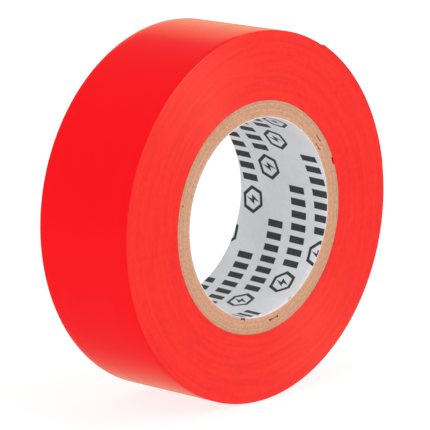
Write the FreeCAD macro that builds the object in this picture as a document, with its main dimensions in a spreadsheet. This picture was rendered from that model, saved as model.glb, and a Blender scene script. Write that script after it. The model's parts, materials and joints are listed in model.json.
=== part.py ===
import FreeCAD, Part
import math
import os

import Sketcher
from FreeCAD import Placement, Rotation, Vector

# Roll of PVC electrical tape, wound on a core of spiral-wound paper board.
#
# Frame: millimetres. The origin is the centre of the bore, +Y runs along the roll's axis and +Z is
# up, so the roll stands on its rim. Angles turn about the axis from +X (0 degrees) towards +Z (90
# degrees). The tape is wound that way too, and it has a whole number of turns, so its first edge on
# the core and its cut edge on the rim lie at the same angle.

doc = FreeCAD.newDocument("tape_roll")


# ---------------------------------------------------------------- driving dimensions

DIMENSIONS = [
    # alias, value, note
    ("tape_width", 19.0, "width of the tape and of the core"),
    ("tape_thickness", 0.18, "whole strip, backing and adhesive"),
    ("backing_thickness", 0.15, "PVC film of the tail"),
    ("tail_clearance", 0.01, "between the tail's adhesive and the turn below it"),
    ("bore_radius", 15.875, "inside of the liner: a 1 1/4 inch core"),
    ("liner_thickness", 0.12, "printed liner paper"),
    ("ply_thickness", 0.4375, "one kraft board ply"),
    ("ply_count", 6, "kraft plies in the core"),
    ("seam_lean", 0.5386, "how far a seam goes round the core for each mm along it"),
    ("slot_overrun", 1.0, "how far a cut runs past the surfaces that it opens"),
    ("turns", 61, "whole turns of tape"),
    ("edge_angle", 60.0, "angle of the tape's first edge and of its cut edge"),
    ("first_edge_void", 0.9, "length of the void where the second turn climbs over the first edge"),
    ("rib_depth", 0.40, "how far the first turn is squeezed into the outer ply's seam"),
    ("rib_clearance", 0.05, "between that rib and each side of the seam"),
    ("rib_bite", 0.05, "how far the rib reaches into the turn that it is fused with"),
    ("tail_pieces", 6, "stiff lengths that stand for the flexible tail"),
    ("tail_pitch", 8.0, "angle that each of those lengths covers"),
    ("tail_slit", 0.04, "angle left open between two of them"),
]

# Each kraft ply's seam, from the inside out: its angle at the -Y end face, and how wide it gapes.
PLY_SEAMS = [
    (-104.0, 0.9),
    (35.0, 1.5),
    (-79.0, 2.0),
    (38.5, 1.4),
    (166.0, 0.3),
    (21.5, 1.3),
]
LINER_SEAM = (196.0, 0.25)

sheet = doc.addObject("Spreadsheet::Sheet", "dims")
value = {}


def add_dimension(alias, number, note):
    row = len(value) + 1
    sheet.set(f"A{row}", note)
    sheet.set(f"B{row}", str(number))
    sheet.setAlias(f"B{row}", alias)
    value[alias] = number


def add_seam(name, seam):
    add_dimension(f"{name}_seam_angle", seam[0], f"angle of the {name}'s seam at the -Y face")
    add_dimension(f"{name}_seam_gap", seam[1], f"open width of the {name}'s seam")


for alias, number, note in DIMENSIONS:
    add_dimension(alias, number, note)
add_seam("liner", LINER_SEAM)
for index, seam in enumerate(PLY_SEAMS, start=1):
    add_seam(f"ply_{index}", seam)
doc.recompute()

# Sizes that follow from the driving ones, as expressions for the document.
LINER_OUTSIDE = "(dims.bore_radius + dims.liner_thickness)"
CORE_RADIUS = f"({LINER_OUTSIDE} + dims.ply_count * dims.ply_thickness)"
FIRST_TURN_OUTSIDE = f"({CORE_RADIUS} + dims.tape_thickness)"
# At the cut edge the step over the first edge adds one thickness to those of the turns.
CUT_EDGE_RADIUS = f"({CORE_RADIUS} + (dims.turns + 1) * dims.tape_thickness)"
# A turn is drawn as two half circles whose centres lie a quarter of the tape's thickness to each
# side of the axis, so that its radius grows by one thickness in a turn. The windings' outside is
# the first half circle, RISING_RADIUS, from the step under the cut edge, then the second one.
CENTRE_SHIFT = "(dims.tape_thickness / 4)"
RISING_RADIUS = f"({CUT_EDGE_RADIUS} - dims.tape_thickness * 7 / 4)"
SECOND_RADIUS = f"({RISING_RADIUS} + dims.tape_thickness / 2)"
TAIL_RADIUS = f"({SECOND_RADIUS} + dims.tape_thickness)"
TAIL_ANGLE = "(dims.tail_pieces * dims.tail_pitch)"
HALF_CUT = "(dims.tape_width / 2 + dims.slot_overrun)"


def number_of(expression):
    """The value of an expression in the sheet's aliases."""
    return float(sheet.evalExpression(expression.replace("dims.", "")))


# ---------------------------------------------------------------- helpers

START, END, CENTRE = 1, 2, 3  # the points of a sketch's line or arc
ORIGIN = (-1, 1)  # a sketch's own origin
ACROSS = -1  # a sketch's horizontal axis


def turned(angle, base=Vector(0, 0, 0)):
    """A placement turned about the roll's axis, from +X towards +Z."""
    return Placement(base, Rotation(Vector(0, -1, 0), angle))


def new_body(label):
    body = doc.addObject("PartDesign::Body", label)
    body.Label = label
    return body


def new_sketch(body, name, role):
    """A sketch on one of the body's own origin planes."""
    sketch = body.newObject("Sketcher::SketchObject", name)
    plane = next(f for f in body.Origin.OriginFeatures if f.Role == role)
    sketch.AttachmentSupport = [(plane, "")]
    sketch.MapMode = "FlatFace"
    return sketch


def tie(sketch, kind, *places):
    """Add a constraint that has no value."""
    sketch.addConstraint(Sketcher.Constraint(kind, *places))


def bind(sketch, kind, *places, name, to, unit="mm"):
    """Add a constraint with a value, and bind it to an expression."""
    size = number_of(to)
    size = math.radians(size) if unit == "deg" else size
    place = sketch.addConstraint(Sketcher.Constraint(kind, *places, size))
    sketch.renameConstraint(place, name)
    sketch.setExpression(f"Constraints.{name}", f"{to} * 1 {unit}")


def new_arc(sketch, centre_x, radius, first, last):
    """An arc with its centre on the horizontal axis, angles in degrees."""
    shape = Part.Circle(Vector(centre_x, 0, 0), Vector(0, 0, 1), number_of(radius))
    return sketch.addGeometry(Part.ArcOfCircle(shape, math.radians(first), math.radians(last)))


def round_trip(sketch, name, radius):
    """A circle about the sketch's origin, drawn as an upper and a lower half.

    A slanted seam takes more than a full turn of one face, so each wall of a ring has two faces.
    """
    upper = new_arc(sketch, 0, radius, 0, 180)
    lower = new_arc(sketch, 0, radius, 180, 360)
    tie(sketch, "Coincident", upper, CENTRE, *ORIGIN)
    tie(sketch, "PointOnObject", upper, START, ACROSS)
    tie(sketch, "PointOnObject", upper, END, ACROSS)
    tie(sketch, "Coincident", upper, END, lower, START)
    tie(sketch, "Coincident", lower, END, upper, START)
    tie(sketch, "PointOnObject", lower, CENTRE, ACROSS)
    bind(sketch, "Radius", upper, name=name, to=radius)


def line(sketch, first, last):
    return sketch.addGeometry(Part.LineSegment(Vector(*first, 0), Vector(*last, 0)))


def outline(sketch, corners):
    """A closed outline of straight lines, with its corners tied together."""
    places = [line(sketch, corners[i - 1], corners[i]) for i in range(len(corners))]
    for i, place in enumerate(places):
        tie(sketch, "Coincident", places[i - 1], END, place, START)
    return places


def pad(body, sketch, name, length):
    """Pad a profile half to each side of its plane."""
    feature = body.newObject("PartDesign::Pad", name)
    feature.Profile = sketch
    feature.SideType = "Symmetric"
    feature.Refine = False
    feature.setExpression("Length", f"{length} * 1 mm")
    sketch.Visibility = False
    doc.recompute()
    return feature


def open_top_wall(body, sketch, name, outside, opened):
    """Pocket a sketch of the XY plane upwards, through the top wall only, and check its volume.

    A flat-sided cut takes a little more out of a curved wall than its width times the wall's depth.
    """
    whole = body.Shape.Volume
    feature = body.newObject("PartDesign::Pocket", name)
    feature.Profile = sketch
    feature.Reversed = True
    feature.Refine = False
    feature.setExpression("Length", f"({outside} + dims.slot_overrun) * 1 mm")
    sketch.Visibility = False
    doc.recompute()
    removed = whole - feature.Shape.Volume
    if not 0.98 * opened < removed < 1.10 * opened:
        raise RuntimeError(f"{name} removed {removed:.3f} mm3, not about {opened:.3f} mm3")


def cylinder(name, radius, sector=None):
    """A cylinder about the roll's axis, as wide as the tape, or a sector that opens from +X to +Z."""
    solid = doc.addObject("Part::Cylinder", name)
    solid.setExpression("Radius", f"{radius} * 1 mm")
    solid.setExpression("Height", "dims.tape_width * 1 mm")
    if sector:
        solid.setExpression("Angle", f"{sector} * 1 deg")
    solid.Placement = Placement(Vector(0, value["tape_width"] / 2, 0), Rotation(Vector(1, 0, 0), 90))
    return solid


def combine(kind, label, base, tool):
    """A boolean of two objects: Part::Cut, Part::Common or Part::Fuse."""
    result = doc.addObject(kind, label)
    result.Label = label
    result.Base = base
    result.Tool = tool
    return result


# ---------------------------------------------------------------- the core


def seam_profile(body, name, gap):
    """A parallelogram on the XY plane that follows a seam across the width, gap wide."""
    sketch = new_sketch(body, name, "XY_Plane")
    lean = f"({HALF_CUT} * dims.seam_lean)"
    narrow, wide = f"({lean} - {gap} / 2)", f"({lean} + {gap} / 2)"
    x_narrow, x_wide, y = number_of(narrow), number_of(wide), number_of(HALF_CUT)
    corners = [(x_narrow, -y), (x_wide, -y), (-x_narrow, y), (-x_wide, y)]
    _, near, _, far = outline(sketch, corners)
    tie(sketch, "Horizontal", near)
    tie(sketch, "Horizontal", far)
    bind(sketch, "DistanceY", near, START, *ORIGIN, name="near_reach", to=HALF_CUT)
    bind(sketch, "DistanceY", *ORIGIN, far, START, name="far_reach", to=HALF_CUT)
    bind(sketch, "DistanceX", *ORIGIN, near, START, name="near_left", to=narrow)
    bind(sketch, "DistanceX", *ORIGIN, near, END, name="near_right", to=wide)
    bind(sketch, "DistanceX", far, START, *ORIGIN, name="far_right", to=narrow)
    bind(sketch, "DistanceX", far, END, *ORIGIN, name="far_left", to=wide)
    return sketch


def seam_turn(name, radius):
    """Turn a ply so that its seam goes from the top of the roll to its place.

    A seam is a helix, so at mid-width it has moved on from where it meets the -Y face.
    """
    travel = value["seam_lean"] * value["tape_width"] / 2
    return turned(value[f"{name}_seam_angle"] + math.degrees(travel / radius) - 90)


def wound_ply(label, name, inside, outside):
    """A ring of the core with its slanted seam."""
    body = new_body(label)
    ring = new_sketch(body, f"{label}_ring", "XZ_Plane")
    round_trip(ring, "inside", inside)
    round_trip(ring, "outside", outside)
    pad(body, ring, f"{label}_wall", "dims.tape_width")
    gap = f"dims.{name}_seam_gap"
    seam = seam_profile(body, f"{label}_seam", gap)
    opened = number_of(f"{gap} * ({outside} - {inside}) * dims.tape_width")
    open_top_wall(body, seam, f"{label}_slot", outside, opened)
    body.Placement = seam_turn(name, number_of(f"({inside} + {outside}) / 2"))
    return body


parts = [wound_ply("core_liner", "liner", "dims.bore_radius", LINER_OUTSIDE)]
for index in range(1, value["ply_count"] + 1):
    inside = f"({LINER_OUTSIDE} + {index - 1} * dims.ply_thickness)"
    outside = f"({LINER_OUTSIDE} + {index} * dims.ply_thickness)"
    parts.append(wound_ply(f"core_ply_{index}", f"ply_{index}", inside, outside))


# ---------------------------------------------------------------- the wound tape


def first_turn_strip():
    """The first turn: a ring, open where the next turn climbs over its first edge."""
    body = new_body("first_turn_strip")
    ring = new_sketch(body, "first_turn_ring", "XZ_Plane")
    round_trip(ring, "inside", CORE_RADIUS)
    round_trip(ring, "outside", FIRST_TURN_OUTSIDE)
    pad(body, ring, "first_turn_wall", "dims.tape_width")

    void = new_sketch(body, "first_edge_gap", "XY_Plane")
    x, y = value["first_edge_void"] / 2, number_of(HALF_CUT)
    left, near, right, far = outline(void, [(-x, -y), (x, -y), (x, y), (-x, y)])
    for place in (near, far):
        tie(void, "Horizontal", place)
    for place in (left, right):
        tie(void, "Vertical", place)
    tie(void, "Symmetric", near, START, far, START, *ORIGIN)
    bind(void, "DistanceX", near, START, near, END, name="gap", to="dims.first_edge_void")
    bind(void, "DistanceY", right, START, right, END, name="reach", to=f"({HALF_CUT} * 2)")
    opened = number_of("dims.first_edge_void * dims.tape_thickness * dims.tape_width")
    open_top_wall(body, void, "first_edge_slot", FIRST_TURN_OUTSIDE, opened)
    half_void = math.degrees(x / number_of(FIRST_TURN_OUTSIDE))
    body.Placement = turned(value["edge_angle"] - half_void - 90)
    return body


def seam_rib():
    """The part of the first turn that winding tension has squeezed into the outer ply's seam."""
    name = f"ply_{value['ply_count']}"
    body = new_body("rib_blank")
    gap = f"(dims.{name}_seam_gap - 2 * dims.rib_clearance)"
    profile = seam_profile(body, "rib_profile", gap)
    blank = body.newObject("PartDesign::Pad", "rib_length")
    blank.Profile = profile
    blank.setExpression("Length", f"{FIRST_TURN_OUTSIDE} * 1 mm")
    doc.recompute()
    body.Placement = seam_turn(name, number_of(f"{CORE_RADIUS} - dims.ply_thickness / 2"))
    ring = combine(
        "Part::Cut",
        "rib_ring",
        cylinder("rib_outside", f"({CORE_RADIUS} + dims.rib_bite)"),
        cylinder("rib_inside", f"({CORE_RADIUS} - dims.rib_depth)"),
    )
    return combine("Part::Common", "seam_rib", ring, body)


def half_circle(sketch, side, radius, first, last):
    """An arc of a two-centre turn. side is -1 for the first half circle and 1 for the second."""
    place = new_arc(sketch, side * number_of(CENTRE_SHIFT), radius, first, last)
    tie(sketch, "PointOnObject", place, CENTRE, ACROSS)
    ends = (place, CENTRE, *ORIGIN) if side < 0 else (*ORIGIN, place, CENTRE)
    bind(sketch, "DistanceX", *ends, name=f"centre_{place}", to=CENTRE_SHIFT)
    return place


def windings():
    """All the turns that the adhesive holds in one block, with the step under the cut edge."""
    body = new_body("tape_windings")
    face = new_sketch(body, "windings_face", "XZ_Plane")
    round_trip(face, "inside", FIRST_TURN_OUTSIDE)
    rising = half_circle(face, -1, RISING_RADIUS, 0, 180)
    second = half_circle(face, 1, SECOND_RADIUS, 180, 360)
    low = number_of(f"{RISING_RADIUS} - {CENTRE_SHIFT}")
    high = number_of(f"{SECOND_RADIUS} + {CENTRE_SHIFT}")
    step = line(face, (high, 0), (low, 0))
    bind(face, "Radius", rising, name="rising_radius", to=RISING_RADIUS)
    tie(face, "Coincident", rising, END, second, START)
    tie(face, "Coincident", second, END, step, START)
    tie(face, "Coincident", step, END, rising, START)
    for place in (rising, second):
        tie(face, "PointOnObject", place, END, ACROSS)
    tie(face, "PointOnObject", rising, START, ACROSS)
    pad(body, face, "windings_block", "dims.tape_width")
    body.Placement = turned(value["edge_angle"])
    return body


def last_turn():
    """The strip that lies on the windings, from the step round to the peel line."""
    body = new_body("tape_last_turn")
    face = new_sketch(body, "last_turn_face", "XZ_Plane")
    peel = 360 - number_of(TAIL_ANGLE)
    shift = number_of(CENTRE_SHIFT)
    over_rising = f"({RISING_RADIUS} + dims.tape_thickness)"
    inner_rising = half_circle(face, -1, RISING_RADIUS, 0, 180)
    inner_second = half_circle(face, 1, SECOND_RADIUS, 180, peel)
    outer_second = half_circle(face, 1, TAIL_RADIUS, 180, peel)
    outer_rising = half_circle(face, -1, over_rising, 0, 180)

    def at_peel(radius):
        reach = number_of(radius)
        return (shift + reach * math.cos(math.radians(peel)), reach * math.sin(math.radians(peel)))

    peel_end = line(face, at_peel(SECOND_RADIUS), at_peel(TAIL_RADIUS))
    inner_start = (number_of(RISING_RADIUS) - shift, 0)
    outer_start = (number_of(over_rising) - shift, 0)
    step_end = line(face, outer_start, inner_start)

    bind(face, "Radius", inner_rising, name="inner_radius", to=RISING_RADIUS)
    bind(face, "Radius", outer_rising, name="outer_radius", to=over_rising)
    tie(face, "Coincident", inner_rising, END, inner_second, START)
    tie(face, "Coincident", outer_rising, END, outer_second, START)
    for place in (inner_rising, outer_rising):
        tie(face, "PointOnObject", place, START, ACROSS)
        tie(face, "PointOnObject", place, END, ACROSS)
    tie(face, "Coincident", inner_second, END, peel_end, START)
    tie(face, "Coincident", peel_end, END, outer_second, END)
    tie(face, "Coincident", outer_rising, START, step_end, START)
    tie(face, "Coincident", step_end, END, inner_rising, START)
    tie(face, "PointOnObject", inner_second, CENTRE, peel_end)
    bind(face, "Angle", peel_end, name="peel_angle", to=f"(-{TAIL_ANGLE})", unit="deg")
    pad(body, face, "last_turn_strip", "dims.tape_width")
    body.Placement = turned(value["edge_angle"])
    return body


tape_first_turn = combine("Part::Fuse", "tape_first_turn", first_turn_strip(), seam_rib())
parts += [tape_first_turn, windings(), last_turn()]


# ---------------------------------------------------------------- the peeling tail


def tail_layer(label, outside, inside, placement):
    """One stiff length of one layer of the tail: a thin sector of a ring."""
    sector = "(dims.tail_pitch - dims.tail_slit)"
    layer = combine(
        "Part::Cut",
        label,
        cylinder(f"{label}_outside", outside, sector),
        cylinder(f"{label}_inside", inside),
    )
    layer.Placement = placement
    return layer


BACKING_INSIDE = f"({TAIL_RADIUS} - dims.backing_thickness)"
ADHESIVE_INSIDE = f"({SECOND_RADIUS} + dims.tail_clearance)"
tail_centre = turned(value["edge_angle"]).multVec(Vector(number_of(CENTRE_SHIFT), 0, 0))
peel_angle = value["edge_angle"] - number_of(TAIL_ANGLE)

for index in range(value["tail_pieces"]):
    butt_angle = peel_angle + index * value["tail_pitch"]
    placement = turned(butt_angle + value["tail_slit"] / 2, tail_centre)
    number = index + 1
    parts.append(tail_layer(f"tail_backing_{number}", TAIL_RADIUS, BACKING_INSIDE, placement))
    parts.append(tail_layer(f"tail_adhesive_{number}", BACKING_INSIDE, ADHESIVE_INSIDE, placement))
    hinge = turned(butt_angle, tail_centre).multVec(Vector(number_of(TAIL_RADIUS), 0, 0))
    print(f"hinge {number} lies along Y at x {hinge.x:.4f}, z {hinge.z:.4f}")


# ---------------------------------------------------------------- checks and export

doc.recompute()
for item in doc.Objects:
    if {"Invalid", "Error"} & set(item.State):
        raise RuntimeError(f"{item.Label} failed: {item.State}")
for part in parts:
    if part.Shape.isNull() or not part.Shape.isValid() or len(part.Shape.Solids) != 1:
        raise RuntimeError(f"{part.Label} isn't one valid solid")

os.makedirs("parts", exist_ok=True)
for part in parts:
    part.Shape.exportStep(f"parts/{part.Label}.step")
print(f"{len(parts)} parts, rim radius at the cut edge {number_of(CUT_EDGE_RADIUS):.3f} mm")
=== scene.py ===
"""Looks of a roll of red PVC electrical tape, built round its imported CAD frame.

Metres. The origin is the centre of the bore, +Y runs along the roll's axis and +Z is up. Angles turn
about the axis from +X (0 degrees) towards +Z (90 degrees), the way the tape is wound. The visible
pieces are one spiral strip, its free tail, the kraft plies of the core, the liner and its print.
"""
import json
import math

import bmesh
import bpy
import numpy as np
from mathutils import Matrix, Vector


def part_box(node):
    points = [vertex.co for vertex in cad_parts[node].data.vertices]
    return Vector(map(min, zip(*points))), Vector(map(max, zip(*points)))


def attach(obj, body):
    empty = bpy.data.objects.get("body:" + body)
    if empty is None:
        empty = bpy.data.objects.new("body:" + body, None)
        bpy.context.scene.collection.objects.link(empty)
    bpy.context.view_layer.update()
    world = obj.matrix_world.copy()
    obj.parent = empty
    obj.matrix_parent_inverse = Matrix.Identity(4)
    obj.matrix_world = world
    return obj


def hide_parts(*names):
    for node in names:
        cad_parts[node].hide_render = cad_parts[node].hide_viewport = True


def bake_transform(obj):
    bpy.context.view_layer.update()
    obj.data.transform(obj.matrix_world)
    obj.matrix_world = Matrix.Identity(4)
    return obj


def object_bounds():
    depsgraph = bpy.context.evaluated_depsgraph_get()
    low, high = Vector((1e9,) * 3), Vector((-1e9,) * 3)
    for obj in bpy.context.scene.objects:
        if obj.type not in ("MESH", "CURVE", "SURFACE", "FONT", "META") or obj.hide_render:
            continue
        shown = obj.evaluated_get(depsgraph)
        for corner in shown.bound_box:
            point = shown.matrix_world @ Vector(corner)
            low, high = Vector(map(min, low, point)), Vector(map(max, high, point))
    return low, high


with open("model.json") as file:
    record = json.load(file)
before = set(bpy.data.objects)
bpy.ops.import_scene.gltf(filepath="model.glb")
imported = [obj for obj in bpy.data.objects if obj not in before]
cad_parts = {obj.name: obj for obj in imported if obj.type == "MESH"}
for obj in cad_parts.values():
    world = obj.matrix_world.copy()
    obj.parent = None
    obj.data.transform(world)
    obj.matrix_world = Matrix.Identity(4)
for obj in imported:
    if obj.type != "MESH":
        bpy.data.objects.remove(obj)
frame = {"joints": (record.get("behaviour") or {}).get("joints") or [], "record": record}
cad_low, cad_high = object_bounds()

MM = 0.001


# ------------------------------------------------------------------ sizes from the frame

def reach(node):
    """How far a node's box gets from the axis: the outer radius of a ring."""
    low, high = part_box(node)
    return max(-low.x, high.x, -low.z, high.z)


PLY_COUNT = 6
TAIL_LENGTHS = 6
HALF_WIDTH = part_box("core_liner")[1].y
BORE_RADIUS = frame["record"]["mounts"][0]["dims"]["r_mm"] * MM  # the first mount is the bore
LINER_THICKNESS = 0.12 * MM
LINER_RADIUS = BORE_RADIUS + LINER_THICKNESS
CORE_RADIUS = reach(f"core_ply_{PLY_COUNT}")
PLY_THICKNESS = (CORE_RADIUS - LINER_RADIUS) / PLY_COUNT
THICKNESS = 0.18 * MM  # of the tape
BACKING = 0.15 * MM  # of that, the PVC film
ADHESIVE = 0.02 * MM  # and its coat; the rest stays free under the tail

# ------------------------------------------------------------------ the strip's spiral

WHOLE_TURNS = 61
COLUMNS = 240  # points round one turn
EDGE_ANGLE = 60.0  # of the first edge on the core and of the cut edge on the rim
TAIL_START = 9.0  # where the strip stops being wound and its free tail takes over
TAIL_COLUMNS = round(COLUMNS * (TAIL_START + 360 - EDGE_ANGLE) / 360)  # of the last turn, up to there
COVERED_COLUMNS = (EDGE_ANGLE - TAIL_START) / 360 * COLUMNS  # of the rim, under the tail
TAIL_STEP = 0.5  # degrees from one cross-section of the tail to the next
BRIDGE = 0.0077  # share of a turn that the strip takes to climb over its first edge
BRIDGE_FADE = 5.0  # turns over which that sharp climb spreads round the whole turn
EDGE_ROUND = 0.15 * MM  # corner between the rim and a side face
TAIL_ROUND = 0.08 * MM  # the same on the free tail
COVERED_ROUND = 0.02 * MM  # and on the turn that the tail covers
GROOVE = 0.016 * MM  # depth of the line between two turns
SIDE_LINES = (0.3, 0.7)  # shares of a turn's thickness at which its side is uneven
DEEPEST_LINE = 0.03 * MM  # how far the side is sunk there at most
SHORT_DRIFT = (COLUMNS // 5, 0.007 * MM)  # that unevenness: columns to a wave, and its depth
LONG_DRIFT = (COLUMNS * 2, 0.010 * MM)
BEND_REACH = 1.9  # degrees each side of a hinge, where each tail length's bend_start and bend_end points lie
CORNER_POINTS = 4  # round a corner of the film
CUT_POINTS = 3  # of those, the ones on the slit edge
FACE_POINTS = 15  # straight across the film

# Each core layer's seam: its angle at the -Y end face in degrees, and its open width.
PLY_SEAMS = [
    (-104.0, 0.9 * MM),
    (35.0, 1.5 * MM),
    (-79.0, 2.0 * MM),
    (38.5, 1.4 * MM),
    (166.0, 0.3 * MM),
    (21.5, 1.3 * MM),
]
LINER_SEAM = (196.0, 0.25 * MM)
SEAM_LEAN = 0.5386  # how far a seam goes round the core for each unit along it
PRESSED_IN = 0.20 * MM  # how far a ply is pressed into the open seam of the one inside it
PRESSED_OUT = 0.08 * MM  # and into the seam of the one outside it
SQUEEZE_DEPTH = 0.10 * MM  # how far the tape sinks into the open seam of the outer ply
SQUEEZE_FADE = 1.1  # turns over which that wears off
SQUEEZE_FALL = 1.2  # how fast it wears off across the seam
RIDGE_DEPTH = 0.40 * MM  # of the first turn's squeezed ridge, in that seam
RIDGE_CLEARANCE = 0.05 * MM  # between the ridge and each side of the seam
RIDGE_LIFT = 0.06 * MM  # of its top, into the first turn
RIDGE_RECESS = 0.35 * MM  # of its ends, inside the side faces
PLY_ROUGH = 0.030 * MM  # of a kraft ply's end grain
LINER_ROUGH = 0.012 * MM
END_CORNER = 0.035 * MM  # how far a ply's edges are rounded at its ends
END_BAND = 0.04 * MM  # the stretch at a ply's ends that is rough
FRAY = 0.05 * MM  # unevenness of the sides of a seam


def smoothstep(x):
    """A soft step from 0 to 1."""
    x = np.clip(x, 0.0, 1.0)
    return x * x * (3 - 2 * x)


def half_circles(part):
    """Growth within a turn, in thicknesses, when each half of the turn is a half circle."""
    swing = 0.25 * np.cos(2 * math.pi * part)
    return np.where(part < 0.5, 0.25 - swing, 0.75 + swing)


def strip_radius(step):
    """Radius of the strip's inner face after that many columns of winding.

    The roll grows by one thickness a turn, on two half circles whose centres lie one quarter of a
    thickness each side of the axis. Near the core it grows in one sharp climb over the first edge.
    """
    whole = step // COLUMNS
    part = (step % COLUMNS) / COLUMNS
    even = half_circles(part)
    climb = smoothstep((part - 1 + BRIDGE) / BRIDGE)
    settled = 1 - np.exp(-step / COLUMNS / BRIDGE_FADE)
    return CORE_RADIUS + THICKNESS * (whole + climb + (even - climb) * settled)


def strip_angle(step):
    """Angle round the axis after that many columns of winding."""
    return np.radians(EDGE_ANGLE + 360.0 * (step % COLUMNS) / COLUMNS)


def polar(radius, angle, y):
    """Points at a radius and an angle round the axis, as an array whose last side is x, y, z."""
    radius, angle, y = np.broadcast_arrays(radius, angle, y)
    return np.stack([radius * np.cos(angle), y, radius * np.sin(angle)], axis=-1)


def from_seam(seam, radius, angle, y):
    """How far points lie from the middle of a slanted seam, in halves of its open width."""
    angle_at_face, gap = seam
    lean = SEAM_LEAN * (y + HALF_WIDTH) / radius
    away = np.degrees(angle - lean) - angle_at_face
    away = (away + 180) % 360 - 180
    return away / math.degrees(gap / 2 / radius)


# ------------------------------------------------------------------ mesh helpers

def grid_quads(index, wrap=False):
    """Quads between the neighbouring points of a table of point numbers; wrap joins its last row."""
    if wrap:
        index = np.concatenate([index, index[:, :1]], axis=1)
    corners = [index[:-1, :-1], index[1:, :-1], index[1:, 1:], index[:-1, 1:]]
    return np.stack(corners, axis=-1).reshape(-1, 4).tolist()


def add_piece(name, points, faces, material, sharp=35.0):
    """A mesh object with its faces turned outward, shaded smooth across angles up to `sharp`."""
    mesh = bpy.data.meshes.new(name)
    mesh.from_pydata(np.asarray(points, float).reshape(-1, 3).tolist(), [], faces)
    work = bmesh.new()
    work.from_mesh(mesh)
    bmesh.ops.recalc_face_normals(work, faces=work.faces)
    for face in work.faces:
        face.smooth = True
    work.to_mesh(mesh)
    work.free()
    mesh.set_sharp_from_angle(angle=math.radians(sharp))
    mesh.materials.append(material)
    piece = bpy.data.objects.new(name, mesh)
    bpy.context.scene.collection.objects.link(piece)
    return piece


def closed_sweep(name, loops, material, sharp=35.0):
    """A solid through a row of closed loops of points, with a flat cap at each end."""
    count, size = loops.shape[:2]
    index = np.arange(count * size).reshape(count, size)
    faces = grid_quads(index, wrap=True)
    faces.append(index[0].tolist())
    faces.append(index[-1].tolist())
    return add_piece(name, loops, faces, material, sharp)


def drift(rng, count, spacing, size):
    """A smooth random walk about zero: one control value every `spacing` samples."""
    controls = rng.normal(0.0, size, count // spacing + 3)
    place = np.arange(count) / spacing
    low = place.astype(int)
    blend = smoothstep(place - low)
    return controls[low] * (1 - blend) + controls[low + 1] * blend


# ------------------------------------------------------------------ material helpers

def linear(red, green, blue):
    """A display colour, each channel from 0 to 255, as the linear colour a shader takes."""
    def channel(value):
        value /= 255.0
        return value / 12.92 if value <= 0.04045 else ((value + 0.055) / 1.055) ** 2.4
    return (channel(red), channel(green), channel(blue), 1.0)


def scaled(colour, factor):
    """A linear colour, brighter or darker."""
    return tuple(min(1.0, part * factor) for part in colour[:3]) + (1.0,)


class Nodes:
    """A node tree under construction, with the few node kinds used here."""

    def __init__(self, tree):
        self.tree = tree

    def node(self, kind, **inputs):
        made = self.tree.nodes.new(kind)
        for key, given in inputs.items():
            self.feed(made.inputs[key], given)
        return made

    def feed(self, socket, given):
        if isinstance(given, bpy.types.NodeSocket):
            self.tree.links.new(given, socket)
        else:
            socket.default_value = given

    def maths(self, operation, first, second=0.0):
        made = self.tree.nodes.new("ShaderNodeMath")
        made.operation = operation
        self.feed(made.inputs[0], first)
        self.feed(made.inputs[1], second)
        return made.outputs[0]

    def spread(self, value, low, high, start=0.3, end=0.7, smooth=False):
        """A value between start and end, carried over to the range from low to high."""
        made = self.node("ShaderNodeMapRange", Value=value)
        if smooth:
            made.interpolation_type = "SMOOTHSTEP"
        made.inputs["From Min"].default_value = start
        made.inputs["From Max"].default_value = end
        made.inputs["To Min"].default_value = low
        made.inputs["To Max"].default_value = high
        return made.outputs[0]

    def mix(self, amount, first, second):
        """A blend of two colours; 6, 7 and 2 are the Mix node's colour sockets."""
        made = self.tree.nodes.new("ShaderNodeMix")
        made.data_type = "RGBA"
        self.feed(made.inputs[0], amount)
        self.feed(made.inputs[6], first)
        self.feed(made.inputs[7], second)
        return made.outputs[2]


class Shader(Nodes):
    """A material whose colour, roughness and normal come from noise in the object's own space."""

    def __init__(self, name, specular=0.5):
        self.material = bpy.data.materials.new(name)
        self.material.use_nodes = True
        super().__init__(self.material.node_tree)
        self.surface = self.tree.nodes["Principled BSDF"]
        self.surface.inputs["Specular IOR Level"].default_value = specular

    def place(self):
        return self.node("ShaderNodeTexCoord").outputs["Object"]

    def stretched(self, scale):
        """The object's coordinates, scaled by a different amount along each axis."""
        made = self.tree.nodes.new("ShaderNodeMapping")
        self.feed(made.inputs["Vector"], self.place())
        made.inputs["Scale"].default_value = scale
        return made.outputs[0]

    def rings(self, per_turn, round_detail):
        """Coordinates that change fast with the distance from the axis and slowly round it."""
        split = self.node("ShaderNodeSeparateXYZ", Vector=self.place())
        x, z = split.outputs["X"], split.outputs["Z"]
        squares = self.maths("ADD", self.maths("MULTIPLY", x, x), self.maths("MULTIPLY", z, z))
        radius = self.maths("SQRT", squares)
        ring = self.maths("MULTIPLY", radius, per_turn / THICKNESS)
        along = self.maths("MULTIPLY", self.maths("DIVIDE", x, radius), round_detail)
        across = self.maths("MULTIPLY", self.maths("DIVIDE", z, radius), round_detail)
        return self.node("ShaderNodeCombineXYZ", X=ring, Y=along, Z=across).outputs[0]

    def noise(self, vector, scale, detail=2.0, roughness=0.5):
        made = self.node("ShaderNodeTexNoise", Vector=vector, Scale=scale, Detail=detail,
                         Roughness=roughness)
        return made.outputs["Fac"]

    def bump(self, height, distance, strength=1.0, under=None):
        made = self.node("ShaderNodeBump", Height=height, Strength=strength, Distance=distance)
        if under is not None:
            self.tree.links.new(under, made.inputs["Normal"])
        return made.outputs[0]

    def finish(self, colour, roughness, normal):
        self.feed(self.surface.inputs["Base Color"], colour)
        self.feed(self.surface.inputs["Roughness"], roughness)
        self.feed(self.surface.inputs["Normal"], normal)
        return self.material


# ------------------------------------------------------------------ materials

FILM_RED = (0.91, 0.0030, 0.0080, 1.0)
FILM_DEEP = (0.87, 0.0024, 0.0070, 1.0)
CUT_RED = (0.93, 0.0125, 0.0033, 1.0)
CUT_DEEP = (0.78, 0.0030, 0.0010, 1.0)


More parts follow.
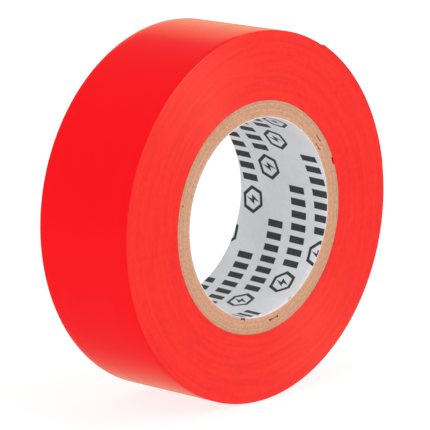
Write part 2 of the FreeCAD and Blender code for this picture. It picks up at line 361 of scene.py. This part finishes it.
def film_material():
    """The PVC film's outer face: glossy, calendered, with faint bands where the winding drew it."""
    shader = Shader("red_film", specular=0.12)
    fine = shader.noise(shader.place(), 2600.0, detail=3.0)
    bands = shader.noise(shader.stretched((40.0, 900.0, 40.0)), 1.0, detail=3.0)
    cloud = shader.noise(shader.place(), 90.0)
    colour = shader.mix(shader.spread(cloud, 0.0, 0.5), FILM_RED, FILM_DEEP)
    roughness = shader.spread(bands, 0.17, 0.25)
    soft = shader.bump(bands, 0.004 * MM)
    return shader.finish(colour, roughness, shader.bump(fine, 0.0012 * MM, under=soft))


def cut_material():
    """The slit side of the winding: matte, with a fine line for every turn.

    The lines spread its gloss across them, towards the axis and away from it.
    """
    shader = Shader("red_cut_edge", specular=0.45)
    turns = shader.noise(shader.rings(1.0, 5.0), 1.0, detail=3.0, roughness=0.65)
    groups = shader.noise(shader.rings(0.26, 2.2), 1.0, detail=3.0)
    blotch = shader.noise(shader.rings(0.20, 26.0), 1.0, detail=3.0, roughness=0.6)
    grain = shader.noise(shader.place(), 5200.0, detail=2.0)
    fine = shader.spread(turns, 0.0, 0.3)
    broad = shader.spread(groups, 0.0, 0.45, 0.38, 0.62)
    patchy = shader.spread(blotch, 0.0, 0.25, 0.38, 0.62)
    shade = shader.maths("ADD", shader.maths("ADD", fine, broad), patchy)
    colour = shader.mix(shade, CUT_RED, CUT_DEEP)
    roughness = shader.spread(blotch, 0.40, 0.52)
    lines = shader.bump(turns, 0.020 * MM)
    shader.surface.inputs["Anisotropic"].default_value = 0.8
    shader.surface.inputs["Anisotropic Rotation"].default_value = 0.25
    tangent = shader.tree.nodes.new("ShaderNodeTangent")
    tangent.direction_type = "RADIAL"
    tangent.axis = "Y"
    shader.tree.links.new(tangent.outputs[0], shader.surface.inputs["Tangent"])
    return shader.finish(colour, roughness, shader.bump(grain, 0.004 * MM, under=lines))


def kraft_material(name, tone):
    """Kraft board: mottled fibres, darker flecks and a dry rough face."""
    shader = Shader(name, specular=0.2)
    fibre = shader.noise(shader.rings(0.9, 60.0), 1.0, detail=4.0, roughness=0.7)
    mottle = shader.noise(shader.place(), 1700.0, detail=4.0, roughness=0.65)
    fleck = shader.noise(shader.place(), 3300.0, detail=2.0)
    mottled = shader.spread(mottle, 0.0, 1.0, 0.35, 0.65)
    pale = shader.mix(mottled, scaled(tone, 1.08), scaled(tone, 0.88))
    lined = shader.mix(shader.spread(fibre, 0.0, 0.6, 0.45, 0.70), pale, scaled(tone, 0.76))
    colour = shader.mix(shader.spread(fleck, 0.0, 0.6, 0.60, 0.72), lined, scaled(tone, 0.50))
    rough = shader.bump(mottle, 0.05 * MM)
    normal = shader.bump(fibre, 0.03 * MM, under=rough)
    return shader.finish(colour, shader.spread(fibre, 0.80, 0.95), normal)


def liner_material():
    """Coated white paper, faintly fibrous under its smooth face."""
    shader = Shader("liner_paper", specular=0.4)
    fibre = shader.noise(shader.place(), 1500.0, detail=4.0, roughness=0.6)
    cloud = shader.noise(shader.place(), 160.0)
    paper, shade = linear(232, 233, 236), linear(212, 213, 217)
    colour = shader.mix(shader.spread(cloud, 0.0, 0.5), paper, shade)
    colour = shader.mix(shader.spread(fibre, 0.0, 0.35), colour, shade)
    return shader.finish(colour, shader.spread(fibre, 0.38, 0.55), shader.bump(fibre, 0.006 * MM))


def ink_material():
    """Dark grey printing ink, thin enough for the paper's fibres to mottle it."""
    shader = Shader("liner_ink", specular=0.35)
    cover = shader.noise(shader.place(), 2400.0, detail=3.0)
    thin = shader.spread(cover, 0.0, 0.6, 0.45, 0.75)
    colour = shader.mix(thin, linear(52, 56, 59), linear(88, 91, 94))
    return shader.finish(colour, shader.spread(cover, 0.42, 0.60), shader.bump(cover, 0.003 * MM))


def adhesive_material():
    """The strip's underside: red film seen through a thin coat of rubber adhesive."""
    shader = Shader("tape_underside", specular=0.15)
    ripple = shader.noise(shader.place(), 1100.0, detail=3.0)
    red, deep = (0.78, 0.012, 0.016, 1.0), (0.66, 0.008, 0.012, 1.0)
    colour = shader.mix(shader.spread(ripple, 0.0, 1.0), red, deep)
    return shader.finish(colour, shader.spread(ripple, 0.22, 0.36), shader.bump(ripple, 0.006 * MM))


def floor_material():
    """White acrylic with light behind it, as a product is shot on."""
    shader = Shader("studio_floor", specular=0.1)
    mottle = shader.noise(shader.place(), 14.0, detail=3.0)
    pale, dull = (0.24, 0.24, 0.24, 1.0), (0.22, 0.22, 0.22, 1.0)
    colour = shader.mix(shader.spread(mottle, 0.0, 1.0), pale, dull)
    shader.surface.inputs["Emission Color"].default_value = (1.0, 1.0, 1.0, 1.0)
    shader.surface.inputs["Emission Strength"].default_value = 0.82
    return shader.finish(colour, 0.8, shader.bump(mottle, 0.1 * MM))


# ------------------------------------------------------------------ the wound strip

def rim_corner(radius, angle, side, rounding):
    """The rounded corner from a side face to the rim, at each angle, with the side face first."""
    turn = np.linspace(0.0, math.pi / 2, CORNER_POINTS)
    r = radius[:, None] - rounding[:, None] * (1 - np.sin(turn))
    y = side * (HALF_WIDTH - rounding[:, None] * (1 - np.cos(turn)))
    return polar(r, angle[:, None], y)


def rim_rows(radius, angle):
    """The film's outer face between its two corners, very slightly banded."""
    y = np.linspace(-HALF_WIDTH + EDGE_ROUND, HALF_WIDTH - EDGE_ROUND, FACE_POINTS)[1:-1]
    share = y / HALF_WIDTH
    height = 0.0012 * MM
    bands = height * np.sin(share * 7.3) * np.cos(share * 4.1 + 0.8)
    return polar(radius[:, None] + bands, angle[:, None], y)


def outer_face(radius, angle, rounding):
    """Points right across the film: corner, face and other corner, from -Y to +Y."""
    near = rim_corner(radius, angle, -1, rounding)
    far = rim_corner(radius, angle, 1, rounding)[:, ::-1]
    return np.concatenate([near, rim_rows(radius, angle), far], axis=1)


def squeeze(angle, side):
    """How much a turn sinks towards the open seam of the outer ply: 1 over its middle."""
    away = from_seam(PLY_SEAMS[-1], CORE_RADIUS, angle, side * HALF_WIDTH)
    return np.exp(-(away ** 2) * SQUEEZE_FALL)


def wound_strip(film, cut):
    """The strip from its first edge to where its tail starts, as one spiral solid.

    Each side face has four lines to a turn: the grooves on its two sides, and the turn's own
    uneven edge between them, at SIDE_LINES. Past its last wound column lie the points of the rim,
    for one turn more.
    """
    rng = np.random.default_rng(7)
    wound = (WHOLE_TURNS - 1) * COLUMNS + TAIL_COLUMNS
    step = np.arange(wound + COLUMNS + 1)
    angle = strip_angle(step)
    radius = strip_radius(step)
    on_rim = step >= wound
    covered = step < wound + COVERED_COLUMNS
    rounding = np.where(covered, COVERED_ROUND, EDGE_ROUND)
    side_radius = np.where(on_rim, radius - rounding, radius)
    offset = drift(rng, len(step), *SHORT_DRIFT) + drift(rng, len(step), *LONG_DRIFT)
    press = np.exp(-step / COLUMNS / SQUEEZE_FADE) * SQUEEZE_DEPTH

    points, lines = [], {}
    count = 0

    def keep(block):
        nonlocal count
        points.append(block.reshape(-1, 3))
        numbers = np.arange(count, count + block.reshape(-1, 3).shape[0])
        count += len(numbers)
        return numbers.reshape(block.shape[:-1])

    rim = keep(outer_face(radius[wound:], angle[wound:], rounding[wound:]))
    inner = np.arange(wound + 1)
    for side, rim_edge in ((-1, rim[:, 0]), (1, rim[:, -1])):
        edge = side_radius - press * squeeze(angle, side)
        depth = np.where(on_rim, 0.0, GROOVE)
        groove = keep(polar(edge[:wound], angle[:wound], side * (HALF_WIDTH - depth[:wound])))
        groove = np.concatenate([groove, rim_edge])
        rows = [groove[inner]]
        sunk = np.clip(np.abs(offset[inner]), 0.0, DEEPEST_LINE)
        for share in SIDE_LINES:
            between = edge[inner] * (1 - share) + edge[inner + COLUMNS] * share
            rows.append(keep(polar(between, angle[inner], side * (HALF_WIDTH - sunk))))
        rows.append(groove[inner + COLUMNS])
        lines[side] = np.stack(rows, axis=1)

    faces = []
    for side in (-1, 1):
        faces += grid_quads(lines[side])
    faces += grid_quads(rim[:, :CUT_POINTS])
    faces += grid_quads(rim[:, -CUT_POINTS:])
    side_faces = len(faces)
    faces += grid_quads(rim[:, CUT_POINTS - 1:1 - CUT_POINTS])
    on_core = slice(0, COLUMNS + 1)
    faces += grid_quads(np.stack([lines[-1][on_core, 0], lines[1][on_core, 0]], axis=1))
    faces += grid_quads(np.stack([lines[-1][0], lines[1][0]], axis=1))  # the first edge
    near_side, far_side = lines[-1][-1, 1:-1], lines[1][-1, -2:0:-1]
    last_cap = np.concatenate([rim[-1], far_side, rim[0, ::-1], near_side])
    faces.append(last_cap.tolist())

    strip = add_piece("tape_wound_strip", np.concatenate(points), faces, film)
    strip.data.materials.append(cut)
    slots = np.zeros(len(faces), int)  # 0 is the film, 1 its slit edge
    slots[:side_faces] = 1
    strip.data.polygons.foreach_set("material_index", slots)
    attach(strip, "roll")
    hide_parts("tape_windings", "tape_last_turn")


def first_turn_ridge(cut):
    """The first turn where it is squeezed down into the open seam of the outer ply."""
    seam, gap = PLY_SEAMS[-1]
    half = gap / 2 - RIDGE_CLEARANCE
    rows = 33
    y = np.linspace(-HALF_WIDTH + RIDGE_RECESS, HALF_WIDTH - RIDGE_RECESS, rows)[:, None]
    centre = math.radians(seam) + SEAM_LEAN * (y + HALF_WIDTH) / CORE_RADIUS
    turn = np.linspace(math.pi, 2 * math.pi, 13)
    across = half * np.cos(turn)
    fall = RIDGE_DEPTH * np.abs(np.sin(turn)) ** 0.6  # flatter than a half circle
    sag = polar(CORE_RADIUS - fall, centre + across / CORE_RADIUS, y)
    top = polar(CORE_RADIUS + RIDGE_LIFT, centre + across[::-1] / CORE_RADIUS, y)
    ridge = closed_sweep("tape_first_turn_ridge", np.concatenate([sag, top], axis=1), cut)
    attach(ridge, "roll")
    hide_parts("tape_first_turn")


# ------------------------------------------------------------------ the free tail

def tail_radius(angle):
    """Outer radius of the tail, which goes on from the last wound turn."""
    part = (np.degrees(angle) - EDGE_ANGLE) % 360 / 360
    at_cut_edge = np.degrees(angle) > EDGE_ANGLE - 1e-6
    even = np.where(at_cut_edge, 1.0, half_circles(part))
    return CORE_RADIUS + THICKNESS * (WHOLE_TURNS + even)


def tail_loops(start, end, upper, lower):
    """Cross-sections of a layer of the tail, between two depths below its outer face."""
    count = round((end - start) / TAIL_STEP) + 1
    angle = np.radians(np.linspace(start, end, count))
    radius = tail_radius(angle)
    y = np.linspace(-HALF_WIDTH, HALF_WIDTH, FACE_POINTS)
    if upper == 0.0:
        top = outer_face(radius, angle, np.full(count, TAIL_ROUND))
    else:
        top = polar(radius[:, None] - upper, angle[:, None], y)
    under = polar(radius[:, None] - lower, angle[:, None], y[::-1])
    return np.concatenate([top, under], axis=1)


def tail(film, underside):
    """The free tail: smooth lengths that each run from the middle of one body to the next."""
    hinges = [Vector(joint["pos_m"]) for joint in frame["joints"]]
    hinge_angles = [math.degrees(math.atan2(h.z, h.x)) for h in hinges]
    half = (hinge_angles[1] - hinge_angles[0]) / 2
    bodies = ["roll"] + [f"tail_{n}" for n in range(1, TAIL_LENGTHS + 1)]
    ends = [TAIL_START] + [angle + half for angle in hinge_angles]
    layers = (
        ("backing", film, "red_pvc", 0.0, BACKING),
        ("adhesive", underside, "tape_adhesive", BACKING, BACKING + ADHESIVE),
    )
    for layer, material, slot, upper, lower in layers:
        for n in range(TAIL_LENGTHS):
            start, end = ends[n], ends[n + 1]
            loops = tail_loops(start, end, upper, lower)
            piece = closed_sweep(f"tail_{layer}_bend_{n + 1}", loops, material)
            hinge = hinge_angles[n]
            middle = tail_radius(np.radians(hinge)) - BACKING / 2
            bend_start = tuple(polar(middle, math.radians(hinge - BEND_REACH), 0.0))
            bend_end = tuple(polar(middle, math.radians(hinge + BEND_REACH), 0.0))
            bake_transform(piece)
            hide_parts(f"tail_{layer}_{n + 1}")
        loops = tail_loops(ends[-1], EDGE_ANGLE, upper, lower)
        piece = closed_sweep(f"tail_{layer}_end", loops, material)
        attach(piece, bodies[-1])


# ------------------------------------------------------------------ the paper core

def seam_fill(seam, radius, angle, y):
    """How far a layer bulges into a neighbour's open seam: 1 at its middle and 0 at its sides."""
    away = from_seam(seam, radius, angle, y)
    return np.clip(1 - away ** 2, 0.0, 1.0) ** 0.7


def layer_loops(seam, inner, outer, columns, roughness, rng, rows=9,
                shares=(0.0, 0.12, 0.5, 0.88, 1.0), inside=None, outside=None):
    """Cross-sections of a wound paper layer, from one side of its slanted seam to the other.

    Its cut ends are rough: every point of an end face is pushed in by a little. Where a neighbour
    inside or outside it has an open seam, the layer is pressed part of the way into that.
    """
    angle_at_face, gap = seam
    middle = (inner + outer) / 2
    open_angle = gap / middle
    shares = np.array(shares)
    r_ends = inner + (outer - inner) * shares
    y_walls = np.linspace(-HALF_WIDTH, HALF_WIDTH, rows)[1:-1]
    corner = END_CORNER * (np.abs(shares - 0.5) * 2) ** 6
    outer_wall, inner_wall = np.full(rows - 2, outer), np.full(rows - 2, inner)
    radius = np.concatenate([r_ends, outer_wall, r_ends[::-1], inner_wall])
    y = np.concatenate([-HALF_WIDTH + corner, y_walls, HALF_WIDTH - corner[::-1], y_walls[::-1]])
    travel = np.linspace(open_angle / 2, 2 * math.pi - open_angle / 2, columns)[:, None]
    lean = SEAM_LEAN * (y + HALF_WIDTH) / middle
    angle = math.radians(angle_at_face) + lean + travel
    on_end = np.abs(y) > HALF_WIDTH - END_BAND
    push = np.abs(rng.normal(0.0, roughness, (columns, len(y))))
    push = (push + np.roll(push, 1, axis=0) + np.roll(push, 1, axis=1)) / 3
    y_rough = np.where(on_end, y - np.sign(y) * push, y)
    frayed = rng.normal(0.0, FRAY / middle, len(y))
    angle[0] += np.abs(frayed)
    angle[-1] -= np.abs(np.roll(frayed, 3))
    radius = np.broadcast_to(radius, angle.shape)
    inward = (outer - radius) / (outer - inner)
    if inside is not None:
        radius = radius - PRESSED_IN * inward * seam_fill(inside, inner, angle, y)
    if outside is not None:
        radius = radius + PRESSED_OUT * (1 - inward) * seam_fill(outside, outer, angle, y)
    return polar(radius, angle, y_rough)


def kraft_plies():
    """The board plies, the inner ones a little warmer, and every other one a little paler."""
    rng = np.random.default_rng(19)
    outer_tone, inner_tone = linear(196, 150, 122), linear(206, 156, 125)
    for n in range(PLY_COUNT):
        share = n / (PLY_COUNT - 1)
        tone = tuple(a * (1 - share) + b * share for a, b in zip(inner_tone, outer_tone))
        material = kraft_material(f"kraft_board_{n + 1}", scaled(tone, 1.0 + 0.03 * (-1) ** n))
        inner = LINER_RADIUS + n * PLY_THICKNESS
        below = PLY_SEAMS[n - 1] if n > 0 else None
        above = PLY_SEAMS[n + 1] if n < PLY_COUNT - 1 else None
        outer = inner + PLY_THICKNESS
        loops = layer_loops(
            PLY_SEAMS[n], inner, outer, 720, PLY_ROUGH, rng, inside=below, outside=above
        )
        ply = closed_sweep(f"kraft_ply_{n + 1}", loops, material, sharp=60.0)
        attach(ply, "roll")
        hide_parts(f"core_ply_{n + 1}")


def liner():
    """The printed paper that lines the bore."""
    rng = np.random.default_rng(23)
    loops = layer_loops(
        LINER_SEAM, BORE_RADIUS, LINER_RADIUS, 400, LINER_ROUGH, rng, rows=20, shares=(0.0, 0.5, 1.0)
    )
    piece = closed_sweep("liner_paper", loops, liner_material(), sharp=60.0)
    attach(piece, "roll")
    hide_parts("core_liner")


# ------------------------------------------------------------------ the liner's print

# The print's plan is flat: its first length goes round the bore from +X, its second along +Y.
ROW_STEP = Vector((25.3, 4.0)) * MM  # from one motif to the next in its row
NEXT_ROW = Vector((6.13, -4.04)) * MM  # from one row to the next
PRINT_START = Vector((-20.65, -1.36)) * MM  # the middle of one hexagon
PRINT_MARGIN = 0.06 * MM  # clear of the paper's ends
INK_LIFT = 0.006 * MM  # of the ink's face above the paper's
INK_SINK = 0.012 * MM  # of its back into the paper
PRINT_FACETS = 140  # round the bore


def motif():
    """Flat shapes of one motif, in millimetres along and across its row: a bolt and seven bars."""
    shapes = []
    outside, inside = 2.35, 1.72  # of the hexagon round the bolt, to its corners
    corner = [math.radians(60 * n) for n in range(7)]
    for a, b in zip(corner, corner[1:]):
        shapes.append([
            (outside * math.cos(a), outside * math.sin(a)),
            (outside * math.cos(b), outside * math.sin(b)),
            (inside * math.cos(b), inside * math.sin(b)),
            (inside * math.cos(a), inside * math.sin(a)),
        ])
    # the bolt's upper half, and the same half turned over
    shapes.append([(0.55, 1.38), (-0.85, -0.22), (-0.02, -0.22), (0.04, 0.16)])
    shapes.append([(-0.55, -1.38), (0.85, 0.22), (0.02, 0.22), (-0.04, -0.16)])
    bars, pitch, wide, tall, slant = 7, 2.06, 1.15, 3.1, 0.62
    for n in range(bars):
        left = 3.15 + n * pitch
        shapes.append([
            (left - slant / 2, -tall / 2),
            (left + wide - slant / 2, -tall / 2),
            (left + wide + slant / 2, tall / 2),
            (left + slant / 2, tall / 2),
        ])
    return shapes


def cut_print(work, point, normal, keep_all=False):
    """Cut the flat print along a plane, and drop what lies past it unless all of it is kept."""
    everything = work.verts[:] + work.edges[:] + work.faces[:]
    bmesh.ops.bisect_plane(
        work, geom=everything, plane_co=point, plane_no=normal, clear_outer=not keep_all
    )


def liner_print():
    """Rows of motifs printed at a slant, cut off where the paper was cut, as a thin coat of ink."""
    work = bmesh.new()
    along = ROW_STEP.normalized()
    across = Vector((-along.y, along.x))
    around = 2 * math.pi * BORE_RADIUS
    seam_start = math.radians(LINER_SEAM[0] - 360) * BORE_RADIUS + LINER_SEAM[1] / 2
    seam_end = seam_start + around - LINER_SEAM[1]
    lean = SEAM_LEAN * BORE_RADIUS / (BORE_RADIUS + LINER_RADIUS) * 2  # of the paper's cut sides
    for row in range(-9, 10):
        for place in range(-5, 6):
            start = PRINT_START + row * NEXT_ROW + place * ROW_STEP
            beside = start.x < seam_start - 20 * MM or start.x > seam_end + 30 * MM
            if beside or abs(start.y) > 20 * MM:
                continue
            for shape in motif():
                corners = [start + (along * u + across * v) * MM for u, v in shape]
                work.faces.new([work.verts.new((c.x, c.y, 0.0)) for c in corners])
    bmesh.ops.triangulate(work, faces=work.faces)
    edge = HALF_WIDTH - PRINT_MARGIN
    cut_print(work, (0, edge, 0), (0, 1, 0))
    cut_print(work, (0, -edge, 0), (0, -1, 0))
    cut_print(work, (seam_start, -HALF_WIDTH, 0), (-1, lean, 0))
    cut_print(work, (seam_end, -HALF_WIDTH, 0), (1, -lean, 0))
    for n in range(-PRINT_FACETS // 2, PRINT_FACETS * 3 // 2):  # past both ends, which are slanted
        bend = seam_start + n * around / PRINT_FACETS
        cut_print(work, (bend, 0, 0), (1, 0, 0), keep_all=True)
    bmesh.ops.solidify(work, geom=work.faces[:], thickness=INK_LIFT + INK_SINK)
    highest = max(v.co.z for v in work.verts)
    for v in work.verts:
        on_face = highest - v.co.z < INK_LIFT
        radius = BORE_RADIUS - INK_LIFT if on_face else BORE_RADIUS + INK_SINK
        angle = v.co.x / BORE_RADIUS
        v.co = (radius * math.cos(angle), v.co.y, radius * math.sin(angle))
    mesh = bpy.data.meshes.new("liner_print")
    work.to_mesh(mesh)
    work.free()
    points = [tuple(v.co) for v in mesh.vertices]
    faces = [list(p.vertices) for p in mesh.polygons]
    bpy.data.meshes.remove(mesh)
    piece = add_piece("liner_print", points, faces, ink_material(), sharp=60.0)
    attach(piece, "roll")


# ------------------------------------------------------------------ studio

def floor():
    """A wide pale floor that the roll stands on."""
    size, cells = 4.0, 8
    line = np.linspace(-size, size, cells + 1)
    x, y = np.meshgrid(line, line, indexing="ij")
    points = np.stack([x, y, np.full_like(x, cad_low.z)], axis=-1)
    index = np.arange(x.size).reshape(x.shape)
    piece = add_piece("studio_floor", points, grid_quads(index), floor_material())
    if piece.data.polygons[0].normal.z < 0:
        piece.data.flip_normals()
    piece.visible_glossy = False


def area_light(name, place, power, colour=(1.0, 1.0, 1.0)):
    """A square soft light that points at the middle of the roll."""
    light = bpy.data.lights.new(name, "AREA")
    light.shape = "SQUARE"
    light.size = 0.4
    light.energy = power
    light.color = colour
    lamp = bpy.data.objects.new(name, light)
    lamp.location = place
    lamp.rotation_mode = "QUATERNION"
    lamp.rotation_quaternion = (-Vector(place)).to_track_quat("-Z", "Y")
    bpy.context.scene.collection.objects.link(lamp)
    return lamp


def studio_world():
    """A white room, which looks different to gloss, to diffuse light and to the camera.

    Gloss shows a weak room and one warm panel on the far side of the roll. The panel ends some 30
    degrees above the horizon, fades towards the floor, and has a dark strip at its foot. Heights
    are sines of the angle above the horizon. Diffuse light is twice as strong from the front (-Y)
    as from the back. The camera sees plain white.
    """
    world = bpy.data.worlds.new("studio_world")
    world.use_nodes = True
    nodes = Nodes(world.node_tree)
    direction = nodes.node("ShaderNodeTexCoord").outputs["Generated"]
    split = nodes.node("ShaderNodeSeparateXYZ", Vector=direction)
    depth, height = split.outputs["Y"], split.outputs["Z"]
    dot = nodes.tree.nodes.new("ShaderNodeVectorMath")
    dot.operation = "DOT_PRODUCT"
    nodes.feed(dot.inputs[0], direction)
    dot.inputs[1].default_value = (0.72, 0.69, 0.0)  # towards the middle of the panel
    facing = dot.outputs["Value"]

    across = nodes.spread(facing, 0.0, 1.0, 0.50, 0.88, smooth=True)
    below_top = nodes.spread(height, 1.0, 0.0, 0.45, 0.53, smooth=True)
    fade = nodes.spread(height, 0.60, 1.0, -0.30, 0.15)
    panel = nodes.maths("MULTIPLY", nodes.maths("MULTIPLY", across, below_top), fade)

    above_floor = nodes.spread(height, 0.0, 1.0, -0.24, -0.20)
    below_panel = nodes.spread(height, 1.0, 0.0, -0.08, 0.0)
    foot_width = nodes.spread(facing, 0.0, 1.0, 0.90, 0.94)
    foot_height = nodes.maths("MULTIPLY", above_floor, below_panel)
    foot = nodes.maths("MULTIPLY", foot_height, foot_width)

    room, warm, dark = (0.30, 0.30, 0.30, 1.0), (1.0, 0.97, 0.60, 1.0), (0.03, 0.03, 0.03, 1.0)
    gloss = nodes.mix(foot, nodes.mix(panel, room, warm), dark)
    front, back = (1.25, 1.25, 1.25, 1.0), (0.62, 0.62, 0.62, 1.0)
    light = nodes.mix(nodes.spread(depth, 0.0, 1.0, -1.0, 1.0), front, back)
    path = nodes.node("ShaderNodeLightPath")
    seen = nodes.mix(path.outputs["Is Glossy Ray"], light, gloss)
    colour = nodes.mix(path.outputs["Is Camera Ray"], seen, (1.0, 1.0, 1.0, 1.0))
    nodes.feed(nodes.tree.nodes["Background"].inputs["Color"], colour)
    bpy.context.scene.world = world


def studio():
    """The room, a soft key above and in front, its warm sheen in gloss, and a fill from the left."""
    studio_world()
    above_front = (0.15, -0.63, 0.55)
    area_light("key", above_front, 1.0)
    sheen = area_light("side_face_sheen", above_front, 4.5, colour=(1.0, 0.80, 0.40))
    sheen.visible_diffuse = False
    area_light("fill", (-0.70, -0.05, 0.25), 0.5)


def camera():
    """A long lens from the left of the near face, a little above the roll."""
    back = Vector((-0.71106, -0.67443, 0.19884))
    lens = bpy.data.cameras.new("camera")
    lens.sensor_width = 36.0
    lens.lens = 284.27
    lens.clip_start, lens.clip_end = 0.01, 20.0
    view = bpy.data.objects.new("camera", lens)
    view.location = Vector((-383.88, -363.81, 106.44)) * MM
    view.rotation_mode = "QUATERNION"
    view.rotation_quaternion = (-back).to_track_quat("-Z", "Y")
    bpy.context.scene.collection.objects.link(view)
    bpy.context.scene.camera = view


bpy.context.scene.view_settings.view_transform = "Standard"
red_film, red_cut = film_material(), cut_material()
wound_strip(red_film, red_cut)
first_turn_ridge(red_cut)
tail(red_film, adhesive_material())
kraft_plies()
liner()
liner_print()
floor()
studio()
camera()
